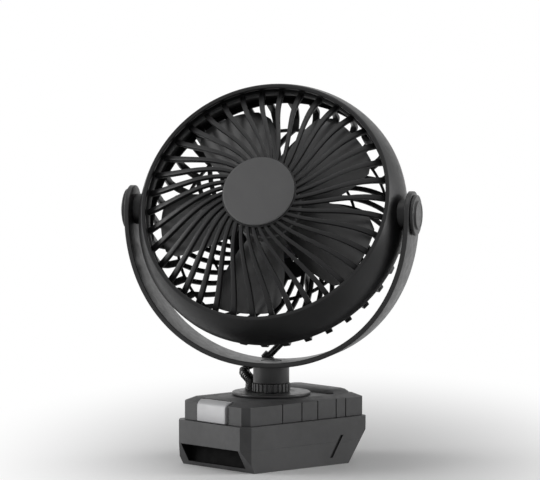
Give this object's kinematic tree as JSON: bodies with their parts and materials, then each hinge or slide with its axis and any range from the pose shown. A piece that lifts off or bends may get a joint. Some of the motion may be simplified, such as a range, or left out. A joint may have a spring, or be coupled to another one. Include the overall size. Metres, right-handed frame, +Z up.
{
  "type": "cordless desk fan",
  "caption": "Small caged fan head that tilts in a round yoke, which swivels on a flat adapter clicked onto a slide-on rechargeable battery pack that serves as the foot.",
  "frame": {"origin": "centre of the battery pack's underside, on the surface it stands on", "axes": "+Z up, +Y along the pack away from the release button, +X to the pack's right long side; the yoke is stored swivelled 33 degrees and the head tilted 27 degrees up, as in use"},
  "size_m": [0.195, 0.1586, 0.2699],
  "materials": {
    "shell_plastic": "satin black",
    "adapter_plastic": "fine grained dark grey",
    "pack_plastic": "fine grained dark grey",
    "hub_plastic": "matt grey",
    "button_plastic": "light grey",
    "blade_plastic": "satin dark grey",
    "rubber": "smooth black",
    "nylon": "natural",
    "zinc": "zinc plated",
    "steel": "ground",
    "motor_case": "drawn",
    "brass": "bright",
    "board": "solder resist",
    "cell_wrap": "plastic sleeve"
  },
  "bodies": {
    "battery": {"battery_lower_case": "pack_plastic", "battery_upper_case": "pack_plastic", "cell_cradle": "pack_plastic", "cell_1": "cell_wrap", "cell_2": "cell_wrap", "cell_3": "cell_wrap", "cell_4": "cell_wrap", "cell_5": "cell_wrap", "battery_board": "board", "button_spring": "steel"},
    "button": {"release_button": "button_plastic"},
    "base": {"adapter_cover": "adapter_plastic", "adapter_floor": "adapter_plastic", "adapter_screw_1": "zinc", "adapter_screw_2": "zinc", "adapter_screw_3": "zinc", "adapter_screw_4": "zinc", "contact_block": "nylon", "contact_blade_1": "brass", "contact_blade_2": "brass", "control_board": "board", "speed_control": "nylon", "swivel_plate": "adapter_plastic", "swivel_collar": "adapter_plastic", "swivel_washer": "zinc", "lead_gland_base": "rubber"},
    "knob": {"speed_knob": "shell_plastic"},
    "yoke": {"yoke": "shell_plastic", "yoke_plug": "shell_plastic", "swivel_bolt": "zinc", "swivel_nut": "zinc", "pivot_cap_left": "shell_plastic", "pivot_cap_right": "shell_plastic", "pivot_bush_left": "nylon", "pivot_bush_right": "nylon", "lead_clip": "shell_plastic", "lead_upper": "rubber", "lead_lower": "rubber"},
    "head": {"front_shell": "shell_plastic", "front_grille": "shell_plastic", "hub_cap": "hub_plastic", "rear_grille": "shell_plastic", "case_screw_1": "zinc", "case_screw_2": "zinc", "case_screw_3": "zinc", "case_screw_4": "zinc", "pivot_screw_left": "zinc", "pivot_screw_right": "zinc", "lead_gland_head": "rubber", "motor_can": "motor_case", "motor_bearing": "steel"},
    "rotor": {"motor_shaft": "steel", "fan_rotor": "blade_plastic", "rotor_nut": "brass"}
  },
  "joints": [
    {"name": "battery_slide", "type": "slide", "parent": "battery", "child": "base", "axis": [0, 1, 0], "range_m": [0, 0.1]},
    {"name": "button_press", "type": "slide", "parent": "battery", "child": "button", "axis": [0, 0, -1], "range_m": [0, 0.0035], "stiffness_N_per_m": 700, "springref_m": -0.003, "deforming": ["button_spring"]},
    {"name": "swivel", "type": "hinge", "parent": "base", "child": "yoke", "pos_m": [0, 0, 0.0575], "axis": [0, 0, 1], "range_deg": [-45, 30], "deforming": ["lead_lower"]},
    {"name": "speed_turn", "type": "hinge", "parent": "base", "child": "knob", "pos_m": [0.012, 0.0584, 0.03985], "axis": [0, 1, 0], "range_deg": [0, 270]},
    {"name": "tilt", "type": "hinge", "parent": "yoke", "child": "head", "pos_m": [0, 0, 0.18], "axis": [0.8387, 0.5446, 0], "range_deg": [-63, 42], "deforming": ["lead_upper"]},
    {"name": "blade_spin", "type": "hinge", "parent": "head", "child": "rotor", "pos_m": [0, 0, 0.18], "axis": [0.4853, -0.7473, 0.454], "continuous": true}
  ]
}
